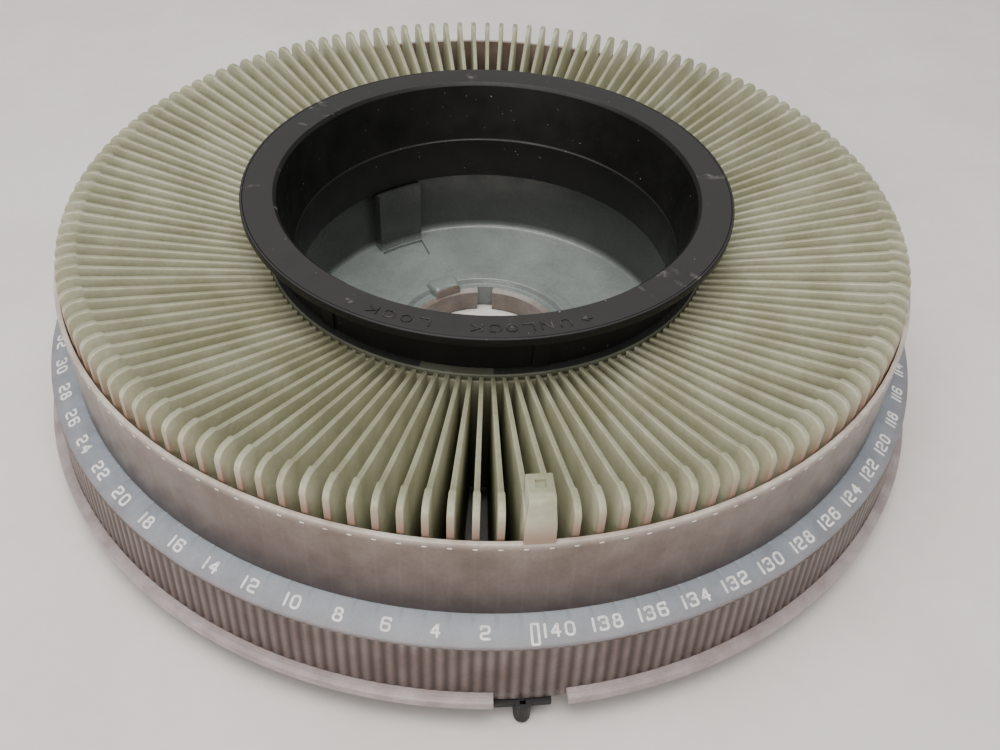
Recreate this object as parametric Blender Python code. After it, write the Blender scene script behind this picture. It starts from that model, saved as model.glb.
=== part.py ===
"""Rotary slide tray: a ring of radial slots around a hub, with a lock ring and a turning gate plate."""

import math

import bmesh
import bpy

MM = 0.001

# Driving dimensions, in millimetres. Z is up from the surface that the tray stands on.
POSITIONS = 141                 # slide positions, 0 to 140
WALL_RADIUS = 115.0             # outside of the upper wall
WALL_THICK = 1.2
RIM_Z = 51.0
SKIRT_FOOT_Z = 6.4              # underside of the walls and the flange
BAND_TOP_Z = 27.7
BAND_FOOT_Z = 25.0
SKIRT_TOP_RADIUS = 122.2
SKIRT_FOOT_RADIUS = 122.9
FLANGE_RADIUS = 125.4
FLANGE_THICK = 2.8
SKIRT_THICK = 2.3
BAND_THICK = 2.0
FLANGE_GAP = (-4.1, 3.5)        # degrees each side of position 0

FIN_THICK = 1.0
FIN_FOOT_Z = 8.3
FIN_ROOT_TOP_Z = 47.0           # the fins rise evenly from the sleeve to the ears
FIN_TOP_Z = 58.6
EAR_TOP_Z = 59.2
EAR_RADIUS = 107.4
EAR_RAMP = 0.6
EAR_CORNER = 3.0
SLEEVE_INNER = 59.3
SLEEVE_OUTER = 61.6
SLEEVE_TOP_Z = 45.6
POST_TOP_Z = 64.0
POST_INNER = 107.5
POST_WIDTH = 6.4
POST_ROOT_Z = 33.3

HUB_BORE = 23.0
HUB_TUBE_OUTER = 25.5
HUB_WALL_INNER = 56.0
HUB_WALL_OUTER = 59.0
HUB_TOP_Z = 47.4
LIP_RADIUS = 61.3
LIP_THICK = 1.5
GROOVE_RADIUS = 57.5
GROOVE_LOW_Z = 32.0
GROOVE_TOP_Z = 38.0
PAD_INNER = 52.4                # a pad on the wall stands over the recess in the floor
PAD_TOP_Z = 31.2
PAD_ARC = (-161.0, -144.4)
FLOOR_EDGE_Z = 9.9
HUB_CUT_INNER = 54.5            # the wall's cutters start this far in, clear of its face
LUG_ARC = 18.0                  # degrees covered by one bayonet window
LUG_BEARING = -154.4            # middle of the first window
UNLOCK_TURN = 22.0
RECESS_INNER = 44.2
RECESS_OUTER = 50.6
RECESS_FLOOR_Z = 7.9
NOTCH_BEARING = 173.9
NOTCH_HALF_WIDTH = 2.6
NOTCH_OUTER = 24.8

RING_TOP_Z = 63.1
RING_FLANGE_RADIUS = 66.6
RING_MOUTH_RADIUS = 57.1
RING_FLANGE_THICK = 2.2
RING_NECK_RADIUS = 59.3
RING_SKIRT_RADIUS = 55.6
RING_SKIRT_INNER = 53.6
RING_FOOT_Z = 31.8
RING_LEDGE_Z = 44.8
RIB_BEARINGS = (-46.7, 7.3)     # ribs under the flange, repeated three times round
RIB_ARC = 2.0                   # degrees each side of a rib's middle
RIB_RADIUS = 60.1
RIB_TOP_Z = 61.9
LUG_LOW_Z = 33.4
LUG_TOP_Z = 36.6
RING_LUG_ARC = 6.5

PLATE_RADIUS = 112.6
PLATE_HOLE = 27.5
PLATE_TOP_Z = 7.9
PLATE_THICK = 1.0
PLATE_DISH = 3.7                # depth of the dished middle
DISH_RADIUS = 47.0
GATE_BEARING = -6.6
GATE_WIDTH = 7.4
GATE_INNER = 62.0
GATE_OUTER = 111.0

LATCH_BEARING = -1.0
LATCH_TOP_Z = 6.0
LATCH_THICK = 1.6
TAB_WIDTH = 3.8
TAB_FOOT_Z = 0.5
RIVET_RADIUS = 105.9
RIVET_SPREAD = 7.8

GAP = 0.4
WALL_STEPS = 96
HUB_STEPS = 72
RETAINER_STEPS = 40


def clearScene():
    for item in list(bpy.data.objects):
        bpy.data.objects.remove(item, do_unlink=True)


def material(name, colour, roughness, metallic=0.0):
    result = bpy.data.materials.new(name)
    result.use_nodes = True
    shader = result.node_tree.nodes["Principled BSDF"]
    shader.inputs["Base Color"].default_value = (*colour, 1.0)
    shader.inputs["Roughness"].default_value = roughness
    shader.inputs["Metallic"].default_value = metallic
    return result


def place(radius, bearing, height):
    """A point at a bearing in degrees from position 0, which faces -Y; positive is towards +X."""
    angle = math.radians(bearing)
    return (radius * math.sin(angle) * MM, -radius * math.cos(angle) * MM, height * MM)


def finish(mesh, name, finishMaterial, smooth=True):
    bmesh.ops.remove_doubles(mesh, verts=mesh.verts, dist=1e-7)
    bmesh.ops.recalc_face_normals(mesh, faces=mesh.faces)
    data = bpy.data.meshes.new(name)
    mesh.to_mesh(data)
    mesh.free()
    if smooth:
        data.shade_smooth()
        data.set_sharp_from_angle(angle=math.radians(35.0))
    result = bpy.data.objects.new(name, data)
    bpy.context.scene.collection.objects.link(result)
    if finishMaterial is not None:
        data.materials.append(finishMaterial)
    return result


def cutter(target, tool, operation="DIFFERENCE"):
    """Hide a tool solid and combine it with its target."""
    tool.hide_render = True
    tool.display_type = "WIRE"
    step = target.modifiers.new(tool.name, "BOOLEAN")
    step.operation = operation
    step.solver = "EXACT"
    step.object = tool


def turnedMesh(profile, steps):
    """Revolve a closed outline of (radius, height) points about Z."""
    mesh = bmesh.new()
    rings = []
    for index in range(steps):
        bearing = 360.0 * index / steps
        rings.append([mesh.verts.new(place(radius, bearing, height)) for radius, height in profile])
    for index in range(steps):
        here = rings[index]
        there = rings[(index + 1) % steps]
        for point in range(len(profile)):
            after = (point + 1) % len(profile)
            mesh.faces.new((here[point], here[after], there[after], there[point]))
    return mesh


def sectorMesh(inner, outer, low, high, start, end, steps=4):
    """A block between two radii, two heights and two bearings."""
    mesh = bmesh.new()
    addSector(mesh, inner, outer, low, high, start, end, steps)
    return mesh


def addSector(mesh, inner, outer, low, high, start, end, steps=4):
    profile = ((inner, low), (outer, low), (outer, high), (inner, high))
    rings = []
    for index in range(steps + 1):
        bearing = start + (end - start) * index / steps
        rings.append([mesh.verts.new(place(radius, bearing, height)) for radius, height in profile])
    for here, there in zip(rings, rings[1:]):
        for point in range(4):
            after = (point + 1) % 4
            mesh.faces.new((here[point], here[after], there[after], there[point]))
    mesh.faces.new(rings[0])
    mesh.faces.new(reversed(rings[-1]))


def addPrism(mesh, outline, low, high, frame):
    """Extrude an outline of (along, across) points between two heights, placed by frame."""
    lower = [mesh.verts.new(frame(along, across, low)) for along, across in outline]
    upper = [mesh.verts.new(frame(along, across, high)) for along, across in outline]
    mesh.faces.new(lower)
    mesh.faces.new(upper)
    for point in range(len(outline)):
        after = (point + 1) % len(outline)
        mesh.faces.new((lower[point], lower[after], upper[after], upper[point]))


def radialFrame(bearing):
    """Axes for a piece that lies along a radius: along is the radius, across is to the right."""
    angle = math.radians(bearing)
    outward = (math.sin(angle), -math.cos(angle))
    sideways = (math.cos(angle), math.sin(angle))

    def frame(along, across, height):
        x = along * outward[0] + across * sideways[0]
        y = along * outward[1] + across * sideways[1]
        return (x * MM, y * MM, height * MM)

    return frame


def oblong(alongLow, alongHigh, halfWidth):
    return ((alongLow, -halfWidth), (alongHigh, -halfWidth), (alongHigh, halfWidth), (alongLow, halfWidth))


def outerShell(plastic):
    """Upper wall, sloped number band, lower wall and foot flange, in one moulding."""
    inner = WALL_RADIUS - WALL_THICK
    flangeTop = SKIRT_FOOT_Z + FLANGE_THICK
    profile = (
        (inner, RIM_Z),
        (WALL_RADIUS, RIM_Z),
        (WALL_RADIUS, BAND_TOP_Z),
        (SKIRT_TOP_RADIUS, BAND_FOOT_Z),
        (SKIRT_FOOT_RADIUS, flangeTop),
        (FLANGE_RADIUS, flangeTop - 0.2),
        (FLANGE_RADIUS, SKIRT_FOOT_Z),
        (SKIRT_FOOT_RADIUS - SKIRT_THICK, SKIRT_FOOT_Z),
        (SKIRT_TOP_RADIUS - SKIRT_THICK, BAND_FOOT_Z - BAND_THICK),
        (WALL_RADIUS, BAND_FOOT_Z - 0.2),
        (WALL_RADIUS, SKIRT_FOOT_Z),
        (inner, SKIRT_FOOT_Z),
    )
    shell = finish(turnedMesh(profile, WALL_STEPS), "outer_shell", plastic)
    low = SKIRT_FOOT_Z - 2.0
    gap = sectorMesh(SKIRT_FOOT_RADIUS + 0.05, FLANGE_RADIUS + 3.0, low, flangeTop + 2.0, *FLANGE_GAP)
    cutter(shell, finish(gap, "flange_gap_cut", None, smooth=False))
    return shell


def finProfile():
    """Side view of one slot fin, from its root round to its foot."""
    tip = WALL_RADIUS - WALL_THICK - GAP
    return (
        (SLEEVE_OUTER, FIN_ROOT_TOP_Z),
        (EAR_RADIUS, FIN_TOP_Z),
        (EAR_RADIUS + EAR_RAMP, EAR_TOP_Z),
        (tip - EAR_CORNER, EAR_TOP_Z),
        (tip, EAR_TOP_Z - EAR_CORNER),
        (tip, FIN_FOOT_Z),
    )


def slotDrum(plastic):
    """The ring of fins on its sleeve. The sleeve and the fins share their edges, so it is one body."""
    mesh = bmesh.new()
    pitch = 360.0 / POSITIONS
    half = FIN_THICK / 2.0
    profile = finProfile()
    corners = {}

    def corner(radius, height, bearing, across):
        key = (round(radius, 4), round(height, 4), round(bearing % 360.0, 5), across)
        if key not in corners:
            along = math.sqrt(radius * radius - across * across) if radius < SLEEVE_OUTER + 0.01 else radius
            corners[key] = mesh.verts.new(radialFrame(bearing)(along, across, height))
        return corners[key]

    for index in range(POSITIONS):
        here = pitch * (index + 0.5)
        there = pitch * (index + 1.5)
        root = ((SLEEVE_OUTER, SLEEVE_TOP_Z),) + profile + ((SLEEVE_OUTER, FIN_FOOT_Z),)
        left = [corner(radius, height, here, -half) for radius, height in root]
        right = [corner(radius, height, here, half) for radius, height in root]
        mesh.faces.new(left)
        mesh.faces.new(reversed(right))
        for point in range(len(root) - 1):
            mesh.faces.new((left[point], right[point], right[point + 1], left[point + 1]))
        nextLeft = [corner(SLEEVE_OUTER, height, there, -half) for height in (SLEEVE_TOP_Z, FIN_FOOT_Z)]
        mesh.faces.new((right[0], nextLeft[0], nextLeft[1], right[-1]))
        innerHere = [corner(SLEEVE_INNER, height, here, 0.0) for height in (SLEEVE_TOP_Z, FIN_FOOT_Z)]
        innerThere = [corner(SLEEVE_INNER, height, there, 0.0) for height in (SLEEVE_TOP_Z, FIN_FOOT_Z)]
        mesh.faces.new((innerHere[0], innerHere[1], innerThere[1], innerThere[0]))
        mesh.faces.new((innerHere[0], innerThere[0], nextLeft[0], right[0]))
        mesh.faces.new((innerHere[1], right[-1], nextLeft[1], innerThere[1]))
        mesh.faces.new((innerHere[0], right[0], left[0]))
        mesh.faces.new((innerHere[1], left[-1], right[-1]))
    drum = finish(mesh, "slot_drum", plastic, smooth=False)
    cutter(drum, zeroPost(), "UNION")
    return drum


def zeroPost():
    """Raised block that fills position 0 and reaches out over the rim."""
    mesh = bmesh.new()
    outer = WALL_RADIUS
    tip = WALL_RADIUS - WALL_THICK - GAP
    frame = radialFrame(0.0)
    half = POST_WIDTH / 2.0
    side = (
        (POST_INNER, POST_ROOT_Z),
        (tip, POST_ROOT_Z),
        (tip, RIM_Z + GAP),
        (outer, RIM_Z + GAP),
        (outer - 0.4, POST_TOP_Z - 1.8),
        (outer - 1.0, POST_TOP_Z - 0.6),
        (outer - 2.2, POST_TOP_Z),
        (POST_INNER, POST_TOP_Z),
    )
    right = [mesh.verts.new(frame(along, half, height)) for along, height in side]
    left = [mesh.verts.new(frame(along, -half, height)) for along, height in side]
    mesh.faces.new(right)
    mesh.faces.new(reversed(left))
    for point in range(len(side)):
        after = (point + 1) % len(side)
        mesh.faces.new((right[point], left[point], left[after], right[after]))
    return finish(mesh, "zero_post_join", None, smooth=False)


def hubBowl(plastic):
    """Hub with a dished floor, a centre tube and bayonet grooves in its wall."""
    profile = (
        (HUB_WALL_INNER, HUB_TOP_Z),
        (HUB_WALL_INNER, 11.4),
        (55.2, 10.3),
        (54.0, FLOOR_EDGE_Z),
        (32.0, 7.6),
        (30.6, 8.6),
        (27.4, 8.6),
        (26.6, 7.2),
        (24.4, 7.0),
        (HUB_BORE, 6.4),
        (HUB_BORE, 0.0),
        (HUB_TUBE_OUTER, 0.0),
        (HUB_TUBE_OUTER, 4.8),
        (DISH_RADIUS - 1.5, 4.8),
        (52.2, 8.4),
        (HUB_WALL_OUTER, 8.4),
        (HUB_WALL_OUTER, HUB_TOP_Z - LIP_THICK),
        (LIP_RADIUS, HUB_TOP_Z - LIP_THICK),
        (LIP_RADIUS, HUB_TOP_Z),
    )
    hub = finish(turnedMesh(profile, HUB_STEPS), "hub_bowl", plastic)
    passages = bmesh.new()
    entries = bmesh.new()
    for turn in range(3):
        start = LUG_BEARING + 120.0 * turn - LUG_ARC / 2.0
        end = start + LUG_ARC
        far = end + UNLOCK_TURN
        addSector(passages, HUB_CUT_INNER, GROOVE_RADIUS, GROOVE_LOW_Z, GROOVE_TOP_Z, start + 1.0, far, 8)
        near = start + UNLOCK_TURN + 0.5
        low = GROOVE_LOW_Z + 1.0
        addSector(entries, HUB_CUT_INNER, GROOVE_RADIUS, low, HUB_TOP_Z + 2.0, near, far - 0.3)
    pad = sectorMesh(PAD_INNER, HUB_WALL_INNER + 1.0, FLOOR_EDGE_Z - 1.0, PAD_TOP_Z, *PAD_ARC)
    cutter(hub, finish(pad, "hub_pad_join", None, smooth=False), "UNION")
    cutter(hub, finish(passages, "hub_passage_cut", None, smooth=False))
    cutter(hub, finish(entries, "hub_entry_cut", None, smooth=False))
    recess = sectorMesh(RECESS_INNER, RECESS_OUTER, RECESS_FLOOR_Z, 14.0, *PAD_ARC)
    cutter(hub, finish(recess, "hub_recess_cut", None, smooth=False))
    notch = bmesh.new()
    notchOutline = oblong(HUB_BORE - 3.0, NOTCH_OUTER, NOTCH_HALF_WIDTH)
    addPrism(notch, notchOutline, -2.0, 12.0, radialFrame(NOTCH_BEARING))
    cutter(hub, finish(notch, "hub_notch_cut", None, smooth=False))
    return hub


def lockRing(plastic):
    """Black bayonet ring that closes the inner ends of the slots from above."""
    profile = (
        (RING_FLANGE_RADIUS - 0.5, RING_TOP_Z),
        (RING_FLANGE_RADIUS, RING_TOP_Z - 0.5),
        (RING_FLANGE_RADIUS, RING_TOP_Z - RING_FLANGE_THICK),
        (RING_NECK_RADIUS, RING_TOP_Z - RING_FLANGE_THICK),
        (RING_NECK_RADIUS, HUB_TOP_Z + GAP),
        (RING_SKIRT_RADIUS, HUB_TOP_Z + GAP),
        (RING_SKIRT_RADIUS, RING_FOOT_Z),
        (RING_SKIRT_INNER, RING_FOOT_Z),
        (RING_SKIRT_INNER, RING_LEDGE_Z),
        (54.9, RING_LEDGE_Z + 0.9),
        (RING_MOUTH_RADIUS, RING_TOP_Z - 0.7),
        (RING_MOUTH_RADIUS + 0.6, RING_TOP_Z),
    )
    ring = finish(turnedMesh(profile, HUB_STEPS), "lock_ring", plastic)
    details = bmesh.new()
    lugOuter = GROOVE_RADIUS - GAP
    for turn in range(3):
        start = LUG_BEARING + 120.0 * turn - RING_LUG_ARC
        addSector(details, 54.6, lugOuter, LUG_LOW_Z, LUG_TOP_Z, start, start + 2.0 * RING_LUG_ARC)
        for bearing in RIB_BEARINGS:
            start = bearing + 120.0 * turn - RIB_ARC
            end = start + 2.0 * RIB_ARC
            addSector(details, 58.4, RIB_RADIUS, HUB_TOP_Z + GAP, RIB_TOP_Z, start, end, 1)
    cutter(ring, finish(details, "ring_lug_join", None, smooth=False), "UNION")
    return ring


def basePlate(steel):
    """Pressed disc under the slots, with one slide gate, a dished middle and a bent spring stop."""
    low = PLATE_TOP_Z - PLATE_THICK
    dished = PLATE_TOP_Z - PLATE_DISH
    profile = (
        (PLATE_HOLE, dished),
        (DISH_RADIUS, dished),
        (DISH_RADIUS + 6.4, PLATE_TOP_Z),
        (PLATE_RADIUS, PLATE_TOP_Z),
        (PLATE_RADIUS, low),
        (DISH_RADIUS + 6.8, low),
        (DISH_RADIUS + 0.4, dished - PLATE_THICK),
        (PLATE_HOLE, dished - PLATE_THICK),
    )
    plate = finish(turnedMesh(profile, HUB_STEPS), "base_plate", steel)
    gate = bmesh.new()
    gateOutline = oblong(GATE_INNER, GATE_OUTER, GATE_WIDTH / 2.0)
    addPrism(gate, gateOutline, low - 2.0, PLATE_TOP_Z + 2.0, radialFrame(GATE_BEARING))
    cutter(plate, finish(gate, "gate_cut", None, smooth=False))
    stop = bmesh.new()
    addPrism(stop, oblong(84.6, 85.8, 2.4), 3.2, low + 0.4, radialFrame(LATCH_BEARING))
    cutter(plate, finish(stop, "spring_stop_join", None, smooth=False), "UNION")
    return plate


def plateRetainer(steel):
    """Ring that snaps on the hub tube and holds the plate up."""
    profile = (
        (HUB_TUBE_OUTER + GAP, 2.8),
        (34.0, 2.8),
        (34.0, 0.6),
        (33.4, 0.0),
        (HUB_TUBE_OUTER + 1.0, 0.0),
        (HUB_TUBE_OUTER + GAP, 0.6),
    )
    return finish(turnedMesh(profile, RETAINER_STEPS), "plate_retainer", steel)


def latchSlider(plastic):
    """Sprung tongue under the plate, whose tab shows in the gap of the flange."""
    mesh = bmesh.new()
    frame = radialFrame(LATCH_BEARING)
    low = LATCH_TOP_Z - LATCH_THICK
    outline = (
        (96.0, -4.5),
        (102.4, -4.5),
        (102.4, -3.0),
        (121.9, -3.0),
        (121.9, -6.5),
        (123.6, -6.4),
        (123.6, 6.4),
        (121.9, 6.5),
        (121.9, 3.0),
        (102.4, 3.0),
        (102.4, 4.5),
        (96.0, 4.5),
    )
    addPrism(mesh, outline, low, LATCH_TOP_Z, frame)
    slider = finish(mesh, "latch_slider", plastic, smooth=False)
    tab = bmesh.new()
    half = TAB_WIDTH / 2.0
    tip = FLANGE_RADIUS
    tabOutline = [(121.3, -half), (tip - half, -half)]
    for step in range(1, 6):
        turn = math.pi * step / 6.0
        tabOutline.append((tip - half + half * math.sin(turn), -half * math.cos(turn)))
    tabOutline += [(tip - half, half), (121.3, half)]
    addPrism(tab, tabOutline, TAB_FOOT_Z, LATCH_TOP_Z + 0.001, frame)
    cutter(slider, finish(tab, "latch_tab_join", None, smooth=False), "UNION")
    slot = bmesh.new()
    addPrism(slot, oblong(121.0, tip - 1.3, 0.7), 2.6, LATCH_TOP_Z + 1.0, frame)
    cutter(slider, finish(slot, "latch_slot_cut", None, smooth=False))
    return slider


def latchKeeper(steel):
    """Bridge strap that guides the latch, bent up to the plate at both ends."""
    frame = radialFrame(LATCH_BEARING)
    thick = 0.8
    padLow = 5.75
    bridgeLow = 3.2
    section = (
        (-10.5, padLow),
        (-4.4 - thick, padLow),
        (-4.4 - thick, bridgeLow),
        (4.4 + thick, bridgeLow),
        (4.4 + thick, padLow),
        (10.5, padLow),
        (10.5, padLow + thick),
        (4.4, padLow + thick),
        (4.4, bridgeLow + thick),
        (-4.4, bridgeLow + thick),
        (-4.4, padLow + thick),
        (-10.5, padLow + thick),
    )
    mesh = bmesh.new()
    ends = []
    for along in (102.9, 108.9):
        ends.append([mesh.verts.new(frame(along, across, height)) for across, height in section])
    mesh.faces.new(ends[0])
    mesh.faces.new(reversed(ends[1]))
    for point in range(len(section)):
        after = (point + 1) % len(section)
        mesh.faces.new((ends[0][point], ends[0][after], ends[1][after], ends[1][point]))
    keeper = finish(mesh, "latch_keeper", steel, smooth=False)
    holes = bmesh.new()
    for across in (-RIVET_SPREAD, RIVET_SPREAD):
        addPrism(holes, roundOutline(RIVET_RADIUS, across, 1.5), padLow - 1.0, padLow + 3.0, frame)
    cutter(keeper, finish(holes, "keeper_hole_cut", None, smooth=False))
    return keeper


def roundOutline(along, across, radius, sides=12):
    points = []
    for step in range(sides):
        turn = 2.0 * math.pi * step / sides
        points.append((along + radius * math.cos(turn), across + radius * math.sin(turn)))
    return points


def keeperRivets(steel, plate):
    """Two headed rivets, flush in the plate so that they clear the slides."""
    frame = radialFrame(LATCH_BEARING)
    holes = bmesh.new()
    for name, across in (("keeper_rivet_left", -RIVET_SPREAD), ("keeper_rivet_right", RIVET_SPREAD)):
        addPrism(holes, roundOutline(RIVET_RADIUS, across, 1.5), 5.0, 10.0, frame)
        head = roundOutline(RIVET_RADIUS, across, 2.3)
        shank = roundOutline(RIVET_RADIUS, across, 1.2)
        levels = ((head, 4.8), (head, 5.4), (shank, 5.4), (shank, 7.7))
        mesh = bmesh.new()
        rings = [[mesh.verts.new(frame(a, b, height)) for a, b in outline] for outline, height in levels]
        mesh.faces.new(rings[0])
        mesh.faces.new(rings[-1])
        for here, there in zip(rings, rings[1:]):
            for point in range(len(here)):
                after = (point + 1) % len(here)
                mesh.faces.new((here[point], here[after], there[after], there[point]))
        finish(mesh, name, steel)
    cutter(plate, finish(holes, "plate_rivet_cut", None, smooth=False))


def latchSpring(steel):
    """Compression coil between the plate's stop and the latch's tail."""
    frame = radialFrame(LATCH_BEARING)
    turns = 6.0
    start = 86.4
    end = 95.4
    radius = 1.15
    wire = 0.22
    centreZ = 5.0
    curve = bpy.data.curves.new("latch_spring", "CURVE")
    curve.dimensions = "3D"
    curve.bevel_depth = wire * MM
    curve.bevel_resolution = 0
    curve.use_fill_caps = True
    spline = curve.splines.new("POLY")
    count = int(turns * 10) + 1
    spline.points.add(count - 1)
    for index in range(count):
        share = index / (count - 1)
        turn = 2.0 * math.pi * turns * share
        along = start + (end - start) * share
        x, y, z = frame(along, radius * math.cos(turn), centreZ + radius * math.sin(turn))
        spline.points[index].co = (x, y, z, 1.0)
    spring = bpy.data.objects.new("latch_spring", curve)
    curve.materials.append(steel)
    bpy.context.scene.collection.objects.link(spring)
    return spring


def main():
    clearScene()
    smokePlastic = material("smoke_polystyrene", (0.34, 0.33, 0.33), 0.38)
    finPlastic = material("cream_polystyrene", (0.40, 0.39, 0.28), 0.42)
    hubPlastic = material("grey_polystyrene", (0.27, 0.29, 0.28), 0.30)
    blackPlastic = material("black_abs", (0.035, 0.034, 0.034), 0.45)
    platedSteel = material("plated_steel", (0.55, 0.55, 0.53), 0.35, 1.0)
    springSteel = material("spring_steel", (0.45, 0.45, 0.45), 0.30, 1.0)
    outerShell(smokePlastic)
    slotDrum(finPlastic)
    hubBowl(hubPlastic)
    lockRing(blackPlastic)
    plate = basePlate(platedSteel)
    plateRetainer(springSteel)
    latchSlider(blackPlastic)
    latchKeeper(platedSteel)
    keeperRivets(platedSteel, plate)
    latchSpring(springSteel)


main()
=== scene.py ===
import math
import random

import bmesh
import bpy
from mathutils import Matrix, Vector


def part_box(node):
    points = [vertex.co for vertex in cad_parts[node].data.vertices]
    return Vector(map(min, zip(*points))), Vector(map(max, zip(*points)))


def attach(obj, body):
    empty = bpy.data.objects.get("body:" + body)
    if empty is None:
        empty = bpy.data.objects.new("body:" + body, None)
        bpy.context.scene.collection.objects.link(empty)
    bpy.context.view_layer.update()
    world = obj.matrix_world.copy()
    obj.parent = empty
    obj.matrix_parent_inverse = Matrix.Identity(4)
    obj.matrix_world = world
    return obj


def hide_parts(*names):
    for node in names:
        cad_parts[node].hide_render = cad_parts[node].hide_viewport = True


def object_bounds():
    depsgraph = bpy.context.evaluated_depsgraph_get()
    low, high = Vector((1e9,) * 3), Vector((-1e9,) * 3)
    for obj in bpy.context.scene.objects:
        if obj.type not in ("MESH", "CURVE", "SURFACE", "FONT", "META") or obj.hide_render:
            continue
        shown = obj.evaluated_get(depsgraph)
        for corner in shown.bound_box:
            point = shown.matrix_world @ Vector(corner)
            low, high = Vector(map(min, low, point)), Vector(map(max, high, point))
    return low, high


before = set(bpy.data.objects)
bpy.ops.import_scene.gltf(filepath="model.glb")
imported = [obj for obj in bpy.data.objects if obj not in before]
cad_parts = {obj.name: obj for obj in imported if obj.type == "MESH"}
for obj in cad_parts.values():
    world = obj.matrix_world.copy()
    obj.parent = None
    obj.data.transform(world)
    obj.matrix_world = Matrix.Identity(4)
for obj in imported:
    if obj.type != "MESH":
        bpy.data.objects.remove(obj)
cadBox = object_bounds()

mm = 0.001
positions = 141                     # slide positions, 0 to 140
pitch = 360.0 / positions           # degrees from one slot to the next

# Heights and radii read from the frame, in millimetres.
shellLow, shellHigh = (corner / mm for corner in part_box("outer_shell"))
drumLow, drumHigh = (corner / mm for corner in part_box("slot_drum"))
hubLow, hubHigh = (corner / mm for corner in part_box("hub_bowl"))
ringLow, ringHigh = (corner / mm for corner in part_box("lock_ring"))
print("stage: frame loaded")


# Bearings are degrees from position 0, which faces -Y; positive is towards +X.
def place(radius, bearing, height):
    angle = math.radians(bearing)
    return Vector((radius * math.sin(angle), -radius * math.cos(angle), height)) * mm


# Rounds the corners of an outline. Each corner is (x, y, fillet); a fillet of 0 stays sharp.
def filleted(corners, steps=4, closed=True):
    points = []
    count = len(corners)
    for index, (x, y, fillet) in enumerate(corners):
        isEnd = not closed and index in (0, count - 1)
        if fillet <= 0 or isEnd:
            points.append((x, y))
            continue
        here = Vector((x, y))
        before = Vector(corners[index - 1][:2]) - here
        after = Vector(corners[(index + 1) % count][:2]) - here
        half = before.angle(after) / 2.0
        reach = min(fillet / math.tan(half), 0.49 * before.length, 0.49 * after.length)
        radius = reach * math.tan(half)
        inward = (before.normalized() + after.normalized()).normalized()
        middle = here + inward * (radius / math.sin(half))
        start = here + before.normalized() * reach - middle
        end = here + after.normalized() * reach - middle
        for step in range(steps + 1):
            share = step / steps
            spoke = (start * (1 - share) + end * share).normalized() * radius
            points.append(tuple(middle + spoke))
    return points


# Joins each section of a body to the next with faces. An open row of sections gets a cap at both ends.
def joinSections(mesh, sections, closed=False, finishOf=None):
    following = sections[1:] + sections[:1] if closed else sections[1:]
    for here, there in zip(sections, following):
        for index in range(len(here)):
            after = (index + 1) % len(here)
            face = mesh.faces.new((here[index], here[after], there[after], there[index]))
            face.material_index = finishOf(index) if finishOf else 0
    if not closed:
        mesh.faces.new(sections[0])
        mesh.faces.new(reversed(sections[-1]))


# Sweeps an outline of (radius, height) points round the axis. outlineAt gives it at each bearing.
def sweepRound(mesh, bearings, outlineAt, fullTurn=True, finishOf=None):
    sections = []
    for bearing in bearings:
        outline = outlineAt(bearing)
        sections.append([mesh.verts.new(place(radius, bearing, height)) for radius, height in outline])
    joinSections(mesh, sections, fullTurn, finishOf)


# Sweeps one unchanging outline over part of a turn.
def sweepArc(mesh, outline, start, sweep, count):
    bearings = evenBearings(count, start, sweep, closed=False)
    sweepRound(mesh, bearings, lambda bearing: outline, fullTurn=False)


# Evenly spaced bearings. A closed row leaves out the last, which is the first again.
def evenBearings(count, start=0.0, sweep=360.0, closed=True):
    gaps = count if closed else count - 1
    return [start + sweep * index / gaps for index in range(count)]


# Makes an object of a mesh and lets it ride on a body, if one is given.
def makePiece(name, mesh, finishes, body, sharpAngle=40.0):
    bmesh.ops.remove_doubles(mesh, verts=mesh.verts, dist=1e-7)
    bmesh.ops.recalc_face_normals(mesh, faces=mesh.faces)
    data = bpy.data.meshes.new(name)
    mesh.to_mesh(data)
    mesh.free()
    data.shade_smooth()
    data.set_sharp_from_angle(angle=math.radians(sharpAngle))
    for finish in finishes:
        data.materials.append(finish)
    piece = bpy.data.objects.new(name, data)
    bpy.context.scene.collection.objects.link(piece)
    if body:
        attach(piece, body)
    return piece


# Finishes. Colours are sRGB hex values, which this turns to linear.
def linearColour(hexValue):
    channels = [int(hexValue[at:at + 2], 16) / 255.0 for at in (1, 3, 5)]
    linear = [c / 12.92 if c <= 0.04045 else ((c + 0.055) / 1.055) ** 2.4 for c in channels]
    return (*linear, 1.0)


# Adds one node. Settings go to its sockets or properties, links to its sockets, stops to a colour ramp.
def addNode(tree, kind, settings=None, links=None):
    made = tree.nodes.new("ShaderNode" + kind)
    for name, value in (settings or {}).items():
        if name == "stops":
            elements = made.color_ramp.elements
            while len(elements) < len(value):
                elements.new(1.0)
            for element, (position, colour) in zip(elements, value):
                element.position = position
                element.color = linearColour(colour)
        elif isinstance(name, int) or name in made.inputs:
            made.inputs[name].default_value = value
        else:
            setattr(made, name, value)
    for name, source in (links or {}).items():
        tree.links.new(source, made.inputs[name])
    return made


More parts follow.
